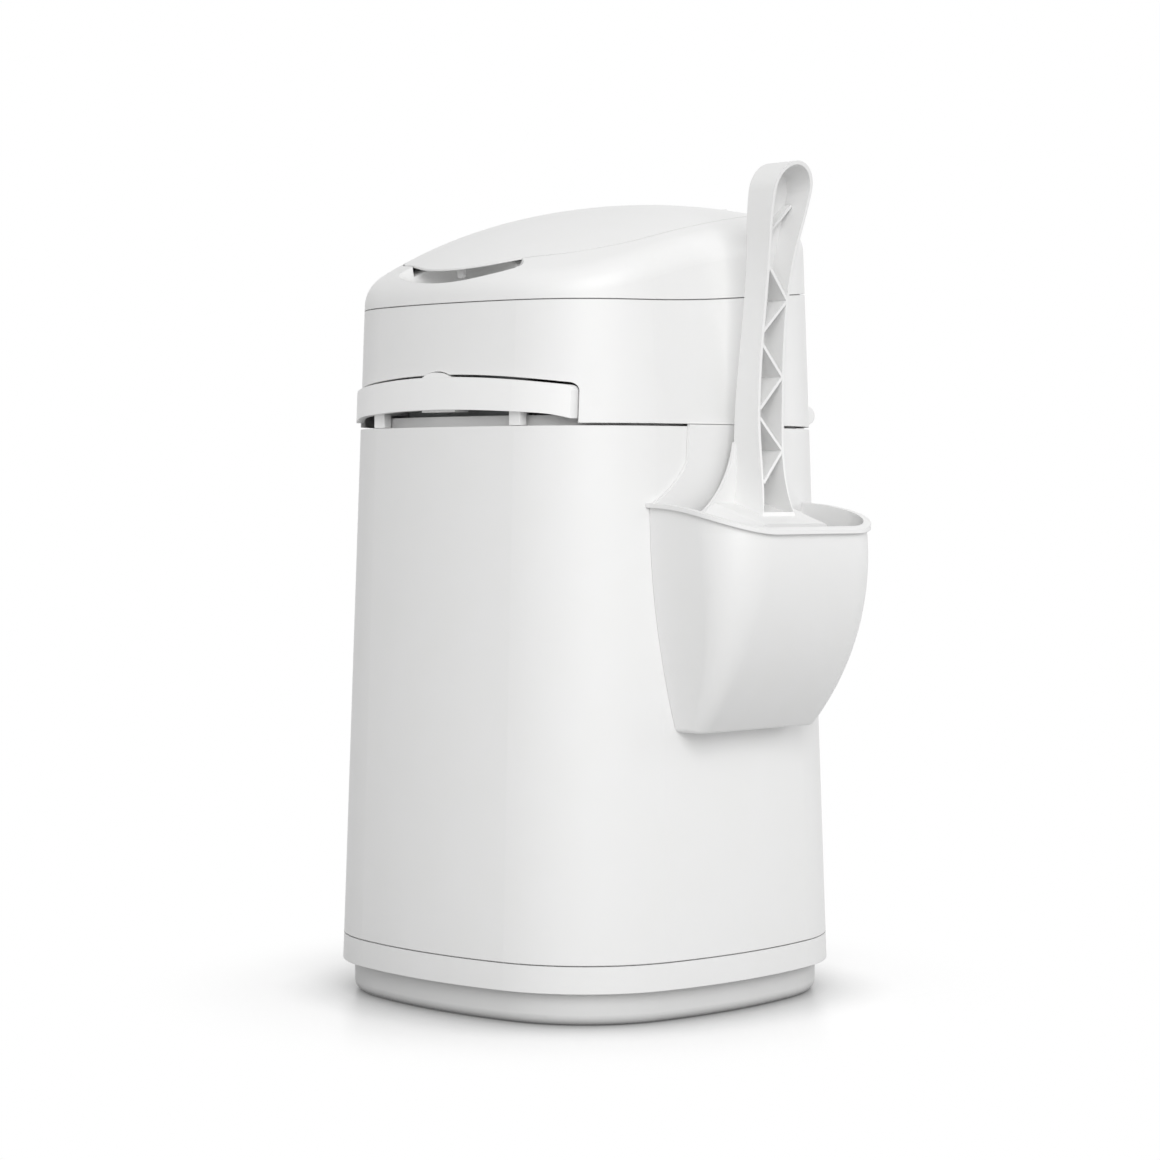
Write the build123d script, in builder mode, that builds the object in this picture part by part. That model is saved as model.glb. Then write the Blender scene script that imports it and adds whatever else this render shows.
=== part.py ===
from build123d import *
from math import atan2, cos, degrees, hypot, radians, sin, sqrt, tan
import os

# Litter disposal pail: a leaning, rounded-square pail whose hinged head carries a flip lid, a film
# cassette and a sprung clamp that a front handle pulls open. A lattice-handled scoop hangs on the side.
# Millimetres. Origin on the floor under the pail's middle, front is -Y, the scoop side is +X, +Z is up.

os.makedirs("parts", exist_ok=True)

# outline of the pail: four bowed sides and four rounded corners that lean in together
half_width = 120.12
side_bow = 276.9
corner_round = 76.4
draft = 2.019

# clearances
seat_gap = 0.1
side_gap = 0.3
running_gap = 0.05

# base
foot_height = 17.4
foot_step = 6.4
foot_round = 5.5
foot_floor = 3.2
foot_recess = 1.0
foot_margin = 22.0
foot_pad = 35.0
band_height = 13.8
band_seam = 0.6
band_flange = 11.0
flange_thick = 2.4
spigot_thick = 2.5
spigot_rise = 9.0

# pail body
body_top = 304.0
body_wall = 2.6

# rim collar inside the top of the body
collar_depth = 19.0
collar_thick = 2.2
collar_groove = 5.0
collar_step = 7.5
collar_lip = 1.8
collar_rise = 5.5

# head housing and top shell
head_seam = 1.3
head_wall = 2.5
shell_seam = 0.5
seam_height = 367.7
seam_bend_y = -65.0
seam_bend_radius = 741.0
seam_rise = 4.64
tongue_depth = 6.0
tongue_thick = 1.8
ledge_height = 334.0
ledge_thick = 2.5
ledge_width = 9.0

# crown of the top shell: a bowed cross section carried along two tangent arcs
crown_y = 52.84
crown_height = 428.22
crown_back_radius = 340.0
crown_front_radius = 228.0
crown_cross_radius = 285.1
crown_split = 12.8
crown_edge = 18.0
crown_bevel = 11.5

# flip lid in plan
lip_stand = 20.62
lip_radius = 72.0
lip_turn = 27.0
lid_side_margin = 33.52
lid_side_radius = 180.0
lid_side_y = -16.0
lid_corner = 60.0
lid_back_margin = 33.62
lid_back_corner = 24.0
lid_gap = 0.7
lid_skin = 2.5
lip_skin = 0.9
lip_relief_width = 6.0
lip_relief_reach = 24.0
tab_width = 5.0
tab_thick = 1.8
tab_setback = 8.5
tab_drop = 9.0

# well under the lid
deck_gap = 2.0
deck_thick = 2.0
well_wall = 1.8
chute_radius = 70.0
chute_wall = 2.0
liner_radius = 66.0
liner_drop = 7.0
liner_wall = 1.8
seal_width = 3.0

# finger dish under the lip
dish_setback = 4.5
dish_below_crown = 37.22
dish_radius = 16.2
dish_half = 56.0
dish_wall = 2.0

# lid hinge
lid_axis_setback = 1.5
lid_axis_sink = 0.797
lid_barrel = 2.4
lid_pin_radius = 1.0
lid_ear_half = 12.3
lid_knuckle = 10.6

# head hinge at the back
head_axis_proud = 4.4
head_axis_height = 312.6
head_knuckle_radius = 4.5
head_pin_radius = 2.0
hinge_middle = 52.0
hinge_ear = 8.6
hinge_knuckle = 6.4
hinge_web_low = 286.0

# cassette and its seat
throat_radius = 50.0
seat_thick = 3.0
seat_rise = 16.0
cassette_radius = 72.0
cassette_wall = 1.8
cassette_height = 29.5
cap_thick = 2.0
film_slit = 1.0
film_height = 22.0
post_radius = 4.0
post_x = 80.0
post_y = 48.0

# clamp tray, jaws and springs
tray_gap = 0.2
tray_thick = 2.5
tray_inset = 10.8
tray_hole_x = 48.0
tray_hole_y = 46.0
jaw_half = 57.0
jaw_top = 330.0
jaw_depth = 12.5
pinch_y = 28.15
jaw_lip = 1.5
jaw_lip_half = 50.0
jaw_lip_height = 17.0
rail_thick = 2.6
rail_rise = 8.0
spring_x = 66.0
spring_radius = 3.6
spring_wire = 1.0
spring_height = 320.0
spring_margin = 37.62
screw_radius = 1.6
screw_head = 3.0

# pull handle: an arched band round the front
handle_half = 82.3
handle_cut = 1.3
handle_proud = 2.5
handle_thick = 4.3
handle_low = 312.8
handle_low_turn_x = 68.0
handle_low_turn = 310.3
handle_low_end = 307.5
handle_top = 329.7
handle_top_end = 324.2
handle_corner = 3.0
arm_x = 52.0
arm_width = 5.0
arm_low = 311.0
arm_height = 10.0
lug_x = 52.0
lug_width = 8.0
finger_wall_half = 46.0
finger_wall_set = 34.6
finger_wall = 2.5
boss_half = 12.5
boss_margin = 22.12
button_half = 9.8
button_top = 332.3
button_shoulder = 329.9
button_low = 321.5
button_margin = 20.02
button_gap = 0.3
notch_gap = 0.5

# scoop holder
holder_reach = 45.38
holder_front_radius = 156.0
holder_half = 58.2
holder_side_radius = 416.0
holder_turn = 250.0
holder_foot = 148.0
holder_corner_top = 28.0
holder_corner_foot = 7.0
holder_wall = 2.0
holder_foot_round = 3.0
rim_back = 264.6
rim_mid_reach = 15.88
rim_mid = 261.2
rim_front = 251.3
bead_proud = 2.0
bead_height = 2.2
plate_thick = 2.0
hanger_half = 33.4
hanger_waist = 286.0
hanger_waist_half = 35.0
hook_half = 30.0
hook_thick = 0.9
hook_turn = 4.6

# scoop
scoop_set_in = 2.52
scoop_wall = 2.0
scoop_draft = 18.0
pan_top = 265.5
pan_top_half = 26.0
pan_shoulder_half = 35.0
pan_wide = 240.0
pan_wide_half = 40.0
pan_tip_half = 36.0
pan_corner = 12.0
pan_depth = 33.9
pan_tip_depth = 7.2
slot_count = 7
slot_pitch = 8.0
slot_width = 4.2
slot_low = 172.0
slot_high = 238.0
handle_wall = 2.0
rib_thick = 1.7
rib_apexes = (291.6, 329.4, 368.5)
rib_rise = 16.6
lone_rib = 405.6
lone_rib_height = 5.0
grip_radius = 14.4
grip_centre = 423.9
grip_waist = 9.3
grip_root = 13.4
grip_foot_height = 298.0
grip_foot_out = 0.6
grip_mid_height = 366.0
grip_mid_out = 6.6
grip_top_height = 439.0
grip_top_out = 17.3
grip_front_low_height = 318.0
grip_front_low_out = 17.5
grip_front_mid_height = 373.0
grip_front_mid_out = 21.7
grip_front_top_out = 36.3
grip_front_foot_height = 282.0
grip_front_foot_out = 18.9
grip_front_root_height = 257.0
grip_front_root_out = 23.4
fan_height = 296.0
fan_lap = 1.2
fan_mid_half = 17.5
fan_mid_height = 277.5
fan_drop = 5.5
fan_skirt = 3.5
far = 200.0

# places that follow the pail's outline and the crown
lip_front = lip_stand - half_width
lid_half = half_width - lid_side_margin
lid_back = half_width - lid_back_margin
tab_y = lip_front + tab_setback
dish_y = lip_front + dish_setback
dish_height = crown_height - dish_below_crown
lid_axis_y = lid_back + lid_axis_setback
crown_fall = crown_back_radius - sqrt(crown_back_radius**2 - (lid_axis_y - crown_y) ** 2)
lid_axis_height = crown_height - crown_fall - lid_axis_sink
head_reach = crown_height + crown_edge - seam_height
head_axis_y = half_width - head_axis_height * tan(radians(draft)) + head_axis_proud
spring_back = half_width - spring_margin
boss_back = boss_margin - half_width
button_back = button_margin - half_width
holder_front = half_width + holder_reach
rim_mid_x = half_width + rim_mid_reach
scoop_back = half_width - scoop_set_in


# ---------------------------------------------------------------- shared forms
def inset_at(height):
    """How far the leaning wall stands in from its place at the floor."""
    return height * tan(radians(draft))


def wall_at(height, across, inset=0.0):
    """Distance from the middle to a bowed side, across millimetres from the side's own middle."""
    radius = side_bow - inset_at(height) - inset
    return half_width - side_bow + sqrt(radius**2 - across**2)


def outline(inset):
    """Outline of the pail, standing in by inset from the outline at the floor."""
    side_centre = half_width - side_bow
    reach = side_bow - corner_round
    corner_centre = (side_centre + sqrt(2 * reach**2 - side_centre**2)) / 2
    side_turn = degrees(atan2(corner_centre, corner_centre - side_centre))
    with BuildSketch() as face:
        with BuildLine():
            for quarter in range(4):
                turn = 90 * quarter
                along, across = cos(radians(turn)), sin(radians(turn))
                CenterArc(
                    (side_centre * along, side_centre * across),
                    side_bow - inset,
                    turn - side_turn,
                    2 * side_turn,
                )
                CenterArc(
                    (corner_centre * (along - across), corner_centre * (across + along)),
                    corner_round - inset,
                    turn + side_turn,
                    90 - 2 * side_turn,
                )
        make_face()
    return face.sketch


def block(low, high, inset=0.0):
    """The leaning outline as a solid between two heights, set in from the outside by inset."""
    with BuildPart() as solid:
        for height in (low, high):
            with BuildSketch(Plane.XY.offset(height)):
                add(outline(inset_at(height) + inset))
        loft(ruled=True)
    return solid.part


def ring(low, high, outer, inner):
    """Wall between two insets."""
    with BuildPart() as solid:
        add(block(low, high, outer))
        add(block(low, high, inner), mode=Mode.SUBTRACT)
    return solid.part


def under_crown(drop):
    """All that lies under the crown surface, lowered by drop."""
    turn = radians(crown_split)
    back_centre = Vector(0, crown_y, crown_height - crown_back_radius)
    joint = back_centre + Vector(0, -sin(turn), cos(turn)) * crown_back_radius
    front_centre = joint - Vector(0, -sin(turn), cos(turn)) * crown_front_radius
    section = Plane(origin=joint, x_dir=(1, 0, 0), z_dir=(0, -cos(turn), -sin(turn)))
    reach = half_width * 1.3
    radius = crown_cross_radius - drop
    edge = sqrt(radius**2 - reach**2) - crown_cross_radius
    depth = -1.5 * half_width
    with BuildPart() as slab:
        with BuildSketch(section) as cross:
            with BuildLine():
                bow = ThreePointArc((-reach, edge), (0, -drop), (reach, edge))
                Polyline(bow @ 1, (reach, depth), (-reach, depth), bow @ 0)
            make_face()
        revolve(cross.sketch, axis=Axis(back_centre, (1, 0, 0)), revolution_arc=-crown_split - 18)
        revolve(cross.sketch, axis=Axis(front_centre, (1, 0, 0)), revolution_arc=45)
    return slab.part


def crown_form(inset):
    """The top of the head as one solid, its wall and crown set in by inset, without its rim eased."""
    low = seam_height - 2 * tongue_depth
    with BuildPart() as form:
        add(block(low, crown_height + crown_edge, inset))
        add(under_crown(inset), mode=Mode.INTERSECT)
    return form.part


def above_seam(lift):
    """Space above the seam between head housing and top shell, raised by lift."""
    with BuildPart() as space:
        with BuildSketch(Plane.YZ.offset(-far)):
            with BuildLine():
                front = Line((-far, seam_height + lift), (seam_bend_y, seam_height + lift))
                bend = JernArc(front @ 1, (1, 0), seam_bend_radius, seam_rise)
                back = Line(bend @ 1, (bend @ 1) + (bend % 1) * far)
                Polyline(back @ 1, (2 * far, 2.5 * far), (-far, 2.5 * far), front @ 0)
            make_face()
        extrude(amount=2 * far)
    return space.part


def lid_face(grow):
    """Flip lid in plan: a round lip, straight shoulders, bowed sides and a straight back."""
    turn = radians(lip_turn)
    lip_centre = lip_front + lip_radius
    lip_end = Vector(lip_radius * sin(turn), lip_centre - lip_radius * cos(turn))
    side_centre = Vector(lid_half - lid_side_radius, lid_side_y)
    run = Vector(cos(turn), sin(turn))
    start = lip_end - side_centre
    along = start.dot(run)
    reach = -along + sqrt(along**2 - start.dot(start) + lid_side_radius**2)
    shoulder = lip_end + run * reach
    back_x = side_centre.X + sqrt(lid_side_radius**2 - (lid_back - lid_side_y) ** 2)
    with BuildSketch() as face:
        with BuildLine():
            ThreePointArc((-lip_end.X, lip_end.Y), (0, lip_front), (lip_end.X, lip_end.Y))
            for hand in (1, -1):
                Line((hand * lip_end.X, lip_end.Y), (hand * shoulder.X, shoulder.Y))
                ThreePointArc(
                    (hand * shoulder.X, shoulder.Y), (hand * lid_half, lid_side_y), (hand * back_x, lid_back)
                )
            Line((back_x, lid_back), (-back_x, lid_back))
        make_face()
        corners = face.vertices()
        fillet(corners.filter_by(lambda v: abs(v.Y - shoulder.Y) < 0.01), lid_corner)
        fillet(face.vertices().filter_by(lambda v: abs(v.Y - lid_back) < 0.01), lid_back_corner)
        if grow:
            offset(amount=grow)
    return face.sketch


def lid_column(grow):
    """The lid's plan as an upright column through the top of the head."""
    with BuildPart() as column:
        with BuildSketch(Plane.XY.offset(seam_height)):
            add(lid_face(grow))
        extrude(amount=head_reach)
    return column.part


def dish_form(grow):
    """Spindle that hollows the finger dish, turned about a line along X."""
    with BuildPart() as spindle:
        with BuildSketch(Plane(origin=(0, dish_y, dish_height), x_dir=(1, 0, 0), z_dir=(0, -1, 0))):
            with BuildLine():
                bow = ThreePointArc((-dish_half - grow, 0), (0, dish_radius + grow), (dish_half + grow, 0))
                Line(bow @ 1, bow @ 0)
            make_face()
        revolve(axis=Axis((0, dish_y, dish_height), (1, 0, 0)))
    return spindle.part


def crosswise(points, low_x, high_x, axis_at=None, radius=0.0):
    """Plate across X from points in Y and Z, with a round eye of the given radius at axis_at."""
    with BuildPart() as plate:
        with BuildSketch(Plane.YZ.offset(low_x)):
            with BuildLine():
                Polyline(*points, close=True)
            make_face()
            if axis_at:
                with Locations(axis_at):
                    Circle(radius)
        extrude(amount=high_x - low_x)
    return plate.part


def rod(radius, centre, low_x, high_x):
    """Round bar along X."""
    with BuildPart() as bar:
        with BuildSketch(Plane.YZ.offset(low_x)):
            with Locations(centre):
                Circle(radius)
        extrude(amount=high_x - low_x)
    return bar.part


def both_hands(solid):
    """A solid with its mirror image across the YZ plane."""
    with BuildPart() as pair:
        add(solid)
        mirror(about=Plane.YZ)
    return pair.part


def finish(name, part):
    """Labels a piece and writes it."""
    part.label = name
    export_step(part, f"parts/{name}.step")


# ---------------------------------------------------------------- base
band_top = foot_height + band_height

with BuildPart() as foot_tray:
    with BuildSketch(Plane.XY):
        add(outline(foot_step + inset_at(foot_height)))
    extrude(amount=foot_height)
    fillet(foot_tray.faces().sort_by(Axis.Z)[0].edges(), foot_round)
    with BuildSketch(Plane.XY.offset(foot_floor)):
        add(outline(foot_step + inset_at(foot_height) + body_wall))
    extrude(amount=foot_height - foot_floor, mode=Mode.SUBTRACT)
    with BuildSketch(Plane.XY):
        add(outline(foot_margin))
        Circle(foot_pad, mode=Mode.SUBTRACT)
    extrude(amount=foot_recess, mode=Mode.SUBTRACT)
finish("foot_tray", foot_tray.part)

with BuildPart() as base_ring:
    add(ring(foot_height, foot_height + flange_thick, 0, band_flange))
    add(ring(foot_height + flange_thick, band_top, 0, body_wall + seat_gap + spigot_thick))
    add(ring(band_top, band_top + spigot_rise, body_wall + seat_gap, body_wall + seat_gap + spigot_thick))
finish("base_ring", base_ring.part)

# ---------------------------------------------------------------- pail body
head_axis = (head_axis_y, head_axis_height)
ear_low, ear_high = hinge_middle - hinge_ear / 2, hinge_middle + hinge_ear / 2
ear_wall = wall_at(body_top, hinge_middle)
ear_points = (
    (head_axis_y + head_knuckle_radius, head_axis_height),
    (head_axis_y + head_knuckle_radius / 2, (head_axis_height + hinge_web_low) / 2),
    (ear_wall, hinge_web_low),
    (ear_wall - 2 * body_wall, hinge_web_low),
    (ear_wall - 2 * body_wall, body_top - side_gap),
    (head_axis_y - 1.4 * head_knuckle_radius, body_top - side_gap),
    (head_axis_y - head_knuckle_radius, head_axis_height),
)
hinge_ears = both_hands(crosswise(ear_points, ear_low, ear_high, head_axis, head_knuckle_radius))
head_bore = rod(head_pin_radius + running_gap, head_axis, -far, far)

with BuildPart() as outer_body:
    add(block(band_top + band_seam, body_top))
    add(hinge_ears)
    add(block(band_top + band_seam, body_top, body_wall), mode=Mode.SUBTRACT)
    add(head_bore, mode=Mode.SUBTRACT)
finish("outer_body", outer_body.part)

collar_in = body_wall + seat_gap
with BuildPart() as rim_collar:
    add(ring(body_top - collar_groove - collar_depth, body_top - collar_groove, collar_in, collar_in + collar_thick))
    add(
        ring(
            body_top - collar_groove - collar_thick,
            body_top - collar_groove,
            collar_in,
            collar_step + collar_lip,
        )
    )
    add(ring(body_top - collar_groove, body_top + collar_rise, collar_step, collar_step + collar_lip))
finish("rim_collar", rim_collar.part)

# ---------------------------------------------------------------- head housing
housing_low = body_top + head_seam


def band_front(grow):
    """Front view of the pull handle band, grown all round."""
    with BuildSketch() as face:
        with BuildLine():
            low = ThreePointArc(
                (-handle_low_turn_x, handle_low_turn), (0, handle_low), (handle_low_turn_x, handle_low_turn)
            )
            top = ThreePointArc((-handle_half, handle_top_end), (0, handle_top), (handle_half, handle_top_end))
            right = TangentArc(low @ 1, (handle_half, handle_low_end), tangent=low % 1)
            left = TangentArc(low @ 0, (-handle_half, handle_low_end), tangent=(low % 0) * -1)
            Line(right @ 1, top @ 1)
            Line(left @ 1, top @ 0)
        make_face()
        ends = face.vertices().filter_by(lambda v: v.Y > (handle_low_end + handle_top) / 2)
        fillet(ends, handle_corner)
        if grow:
            offset(amount=grow)
    return face.sketch


front_view = Plane(origin=(0, 0, 0), x_dir=(1, 0, 0), z_dir=(0, -1, 0))

with BuildPart() as handle_cutter:
    with BuildSketch(front_view.offset(half_width / 2)) as cut_face:
        add(band_front(handle_cut))
        with Locations((0, (housing_low + handle_low) / 2 - handle_cut)):
            Rectangle(2 * (handle_half + handle_cut), handle_low - housing_low + 4 * handle_cut)
    extrude(amount=half_width)

with BuildPart() as notch_cutter:
    with BuildSketch(front_view.offset(half_width / 2)):
        with BuildLine():
            arch = ThreePointArc(
                (-button_half - notch_gap, button_shoulder + notch_gap),
                (0, button_top + notch_gap),
                (button_half + notch_gap, button_shoulder + notch_gap),
            )
            Polyline(arch @ 1, (button_half, handle_low), (-button_half, handle_low), arch @ 0)
        make_face()
    extrude(amount=half_width)

knuckle_in = wall_at(housing_low, hinge_middle) - 2 * head_wall
knuckle_points = (
    (head_axis_y + head_knuckle_radius * 0.2, head_axis_height - head_knuckle_radius),
    (head_axis_y - head_knuckle_radius, housing_low + side_gap),
    (knuckle_in, housing_low + side_gap),
    (knuckle_in, head_axis_height + 2 * head_knuckle_radius),
    (head_axis_y + head_knuckle_radius * 0.2, head_axis_height + head_knuckle_radius),
)
outer_knuckle = crosswise(
    knuckle_points, ear_high + side_gap, ear_high + side_gap + hinge_knuckle, head_axis, head_knuckle_radius
)
inner_knuckle = crosswise(
    knuckle_points, ear_low - side_gap - hinge_knuckle, ear_low - side_gap, head_axis, head_knuckle_radius
)
pin_end = ear_high + side_gap + hinge_knuckle - 1
head_pin_hole = rod(head_pin_radius + running_gap, head_axis, ear_low - 2 * hinge_knuckle, pin_end)
seam_cut = above_seam(0)

with BuildPart() as head_housing:
    add(block(housing_low, crown_height))
    add(both_hands(outer_knuckle))
    add(both_hands(inner_knuckle))
    add(block(housing_low, crown_height, head_wall), mode=Mode.SUBTRACT)
    add(seam_cut, mode=Mode.SUBTRACT)
    add(ring(ledge_height, ledge_height + ledge_thick, head_wall / 2, ledge_width))
    add(handle_cutter.part, mode=Mode.SUBTRACT)
    add(notch_cutter.part, mode=Mode.SUBTRACT)
    add(both_hands(head_pin_hole), mode=Mode.SUBTRACT)
finish("head_housing", head_housing.part)

hinge_pin = rod(head_pin_radius, head_axis, ear_low - side_gap - hinge_knuckle, pin_end - side_gap)
with BuildPart() as head_hinge_pins:
    add(both_hands(hinge_pin))
finish("head_hinge_pins", head_hinge_pins.part)

# ---------------------------------------------------------------- top shell
crown_outer = crown_form(0)
crown_outer = fillet(crown_outer.edges().filter_by(GeomType.BSPLINE), crown_edge)
crown_inner = crown_form(head_wall)
crown_inner = chamfer(crown_inner.edges().filter_by(GeomType.BSPLINE), crown_bevel)
deck_drop = lid_skin + deck_gap
deck_top = under_crown(deck_drop)
deck_bottom = under_crown(deck_drop + deck_thick)
well_outer = lid_column(lid_gap + well_wall)
well_inner = lid_column(lid_gap)
shell_cut = above_seam(shell_seam)

with BuildPart() as shell_tongue:
    add(ring(seam_height - tongue_depth, crown_height, head_wall + seat_gap, head_wall + seat_gap + tongue_thick))
    add(above_seam(2 * tongue_thick), mode=Mode.SUBTRACT)
    add(above_seam(-tongue_depth), mode=Mode.INTERSECT)

with BuildPart() as tongue_root:
    add(ring(seam_height, crown_height, head_wall / 2, head_wall + seat_gap + tongue_thick))
    add(above_seam(2 * tongue_thick), mode=Mode.SUBTRACT)
    add(shell_cut, mode=Mode.INTERSECT)

with BuildPart() as well:
    add(well_outer)
    add(crown_outer, mode=Mode.INTERSECT)
    add(deck_bottom, mode=Mode.SUBTRACT)
    add(well_inner, mode=Mode.SUBTRACT)

with BuildPart() as deck:
    add(well_outer)
    add(deck_top, mode=Mode.INTERSECT)
    add(deck_bottom, mode=Mode.SUBTRACT)

cassette_low = ledge_height + ledge_thick + seat_thick
cassette_top = cassette_low + cassette_height + cap_thick
with BuildPart() as chute:
    with BuildSketch(Plane.XY.offset(cassette_top + 2 * deck_gap)):
        Circle(chute_radius + chute_wall)
    extrude(amount=head_reach)
    add(deck_top, mode=Mode.INTERSECT)

with BuildPart() as chute_bore:
    with BuildSketch(Plane.XY.offset(cassette_top)):
        Circle(chute_radius)
    extrude(amount=head_reach)

with BuildPart() as dish_shell:
    add(dish_form(dish_wall))
    add(crown_outer, mode=Mode.INTERSECT)

with BuildPart() as lid_room:
    add(well_inner)
    add(deck_top, mode=Mode.SUBTRACT)

lid_axis = (lid_axis_y, lid_axis_height)
lid_ear_points = (
    (lid_axis_y + lid_barrel, lid_axis_height),
    (lid_axis_y + lid_barrel + well_wall, lid_axis_height - deck_drop),
    (lid_axis_y - lid_barrel, lid_axis_height - deck_drop - lid_barrel),
    (lid_axis_y - lid_barrel, lid_axis_height),
)
lid_ear = crosswise(lid_ear_points, -lid_ear_half, lid_ear_half, lid_axis, lid_barrel)
knuckle_start = lid_ear_half + side_gap
knuckle_end = knuckle_start + lid_knuckle
lid_bore = rod(lid_pin_radius + running_gap, lid_axis, -knuckle_end, knuckle_end)
barrel_room = lid_barrel + 2 * side_gap
room_points = (
    (lid_axis_y - barrel_room, lid_axis_height),
    (lid_axis_y, lid_axis_height - barrel_room),
    (lid_axis_y + barrel_room, lid_axis_height),
    (lid_axis_y + barrel_room, lid_axis_height + barrel_room),
    (lid_axis_y - barrel_room, lid_axis_height + barrel_room),
)
barrel_pocket = crosswise(room_points, lid_ear_half, knuckle_end + side_gap, lid_axis, barrel_room)

with BuildPart() as top_shell:
    add(crown_outer)
    add(crown_inner, mode=Mode.SUBTRACT)
    add(shell_cut, mode=Mode.INTERSECT)
    add(well.part)
    add(deck.part)
    add(chute.part)
    add(dish_shell.part)
    add(lid_room.part, mode=Mode.SUBTRACT)
    add(dish_form(0), mode=Mode.SUBTRACT)
    add(chute_bore.part, mode=Mode.SUBTRACT)
    add(tongue_root.part)
    add(shell_tongue.part)
    add(both_hands(barrel_pocket), mode=Mode.SUBTRACT)
    add(lid_ear)
    add(lid_bore, mode=Mode.SUBTRACT)
finish("top_shell", top_shell.part)

with BuildPart() as lid_hinge_pin:
    add(rod(lid_pin_radius, lid_axis, side_gap - knuckle_end, knuckle_end - side_gap))
finish("lid_hinge_pin", lid_hinge_pin.part)

# ---------------------------------------------------------------- flip lid
lid_under = under_crown(lid_skin)
ear_room = crosswise(
    (
        (lid_axis_y - barrel_room, 0.9 * lid_axis_height),
        (lid_axis_y + barrel_room, 0.9 * lid_axis_height),
        (lid_axis_y + barrel_room, 1.1 * lid_axis_height),
        (lid_axis_y - barrel_room, 1.1 * lid_axis_height),
    ),
    -lid_ear_half - side_gap,
    lid_ear_half + side_gap,
)

with BuildPart() as catch_tab:
    with BuildSketch(Plane.XY.offset(dish_height + dish_radius)):
        with Locations((0, tab_y)):
            Rectangle(tab_width, tab_thick)
    extrude(amount=-dish_radius - tab_drop)
    fillet(catch_tab.faces().sort_by(Axis.Z)[0].edges().filter_by(Axis.Y), tab_thick)
    add(under_crown(lid_skin / 2), mode=Mode.INTERSECT)

with BuildPart() as lip_relief:
    with BuildSketch(Plane.XY.offset(seam_height)):
        add(lid_face(lid_gap))
        add(lid_face(-lip_relief_width), mode=Mode.SUBTRACT)
        with Locations((0, lip_front)):
            Rectangle(2 * dish_half, 2 * lip_relief_reach, mode=Mode.INTERSECT)
    extrude(amount=head_reach)
    add(under_crown(lip_skin), mode=Mode.INTERSECT)

with BuildPart() as flip_lid:
    add(lid_column(0))
    add(crown_outer, mode=Mode.INTERSECT)
    add(lid_under, mode=Mode.SUBTRACT)
    add(lip_relief.part, mode=Mode.SUBTRACT)
    add(catch_tab.part)
    add(ear_room, mode=Mode.SUBTRACT)
    add(both_hands(rod(lid_barrel, lid_axis, knuckle_start, knuckle_end)))
    add(lid_bore, mode=Mode.SUBTRACT)
finish("flip_lid", flip_lid.part)

liner_under = under_crown(lid_skin + liner_drop)
liner_over = under_crown(lid_skin + liner_drop - liner_wall)
with BuildPart() as liner_hollow:
    with BuildSketch(Plane.XY.offset(seam_height)):
        Circle(liner_radius - liner_wall)
    extrude(amount=head_reach)
    add(liner_over, mode=Mode.SUBTRACT)

with BuildPart() as lid_liner:
    with BuildSketch(Plane.XY.offset(seam_height)):
        Circle(liner_radius)
    extrude(amount=head_reach)
    add(lid_under, mode=Mode.INTERSECT)
    add(liner_under, mode=Mode.SUBTRACT)
    add(liner_hollow.part, mode=Mode.SUBTRACT)
finish("lid_liner", lid_liner.part)

seal_over = under_crown(lid_skin + seat_gap)
seal_under = under_crown(lid_skin + deck_gap - side_gap)
with BuildPart() as lid_seal:
    with BuildSketch(Plane.XY.offset(seam_height)):
        Circle(chute_radius + chute_wall + seal_width)
        Circle(chute_radius + chute_wall, mode=Mode.SUBTRACT)
    extrude(amount=head_reach)
    add(seal_over, mode=Mode.INTERSECT)
    add(seal_under, mode=Mode.SUBTRACT)
finish("lid_seal", lid_seal.part)

# ---------------------------------------------------------------- cassette and its seat
seat_low = ledge_height + ledge_thick
posts = GridLocations(2 * post_x, 2 * post_y, 2, 2)
tray_low = housing_low + tray_gap
tray_top = tray_low + tray_thick

with BuildPart() as cassette_seat:
    add(block(seat_low, cassette_low, head_wall + side_gap))
    with BuildSketch(Plane.XY.offset(cassette_low)):
        Circle(cassette_radius + side_gap + seat_thick)
        Circle(cassette_radius + side_gap, mode=Mode.SUBTRACT)
    extrude(amount=seat_rise)
    with BuildSketch(Plane.XY.offset(tray_top)):
        with posts:
            Circle(post_radius)
    extrude(amount=seat_low - tray_top)
    with BuildSketch(Plane.XY.offset(seat_low)):
        Circle(throat_radius)
    extrude(amount=seat_thick, mode=Mode.SUBTRACT)
    with BuildSketch(Plane.XY.offset(tray_top)):
        with posts:
            Circle(screw_radius + running_gap)
    extrude(amount=3 * screw_head, mode=Mode.SUBTRACT)
finish("cassette_seat", cassette_seat.part)

case_top = cassette_low + cassette_height
with BuildPart() as cassette_case:
    with BuildSketch(Plane.XZ):
        with BuildLine():
            Polyline(
                (throat_radius, cassette_low),
                (cassette_radius, cassette_low),
                (cassette_radius, case_top),
                (cassette_radius - cassette_wall, case_top),
                (cassette_radius - cassette_wall, cassette_low + cassette_wall),
                (throat_radius + cassette_wall, cassette_low + cassette_wall),
                (throat_radius + cassette_wall, case_top - film_slit),
                (throat_radius, case_top - film_slit),
                close=True,
            )
        make_face()
    revolve(axis=Axis.Z)
finish("cassette_case", cassette_case.part)

with BuildPart() as cassette_cap:
    with BuildSketch(Plane.XY.offset(case_top)):
        Circle(cassette_radius)
        Circle(throat_radius + cassette_wall + film_slit, mode=Mode.SUBTRACT)
    extrude(amount=cap_thick)
    chamfer(cassette_cap.faces().sort_by(Axis.Z)[-1].edges(), cap_thick / 3)
finish("cassette_cap", cassette_cap.part)

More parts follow.
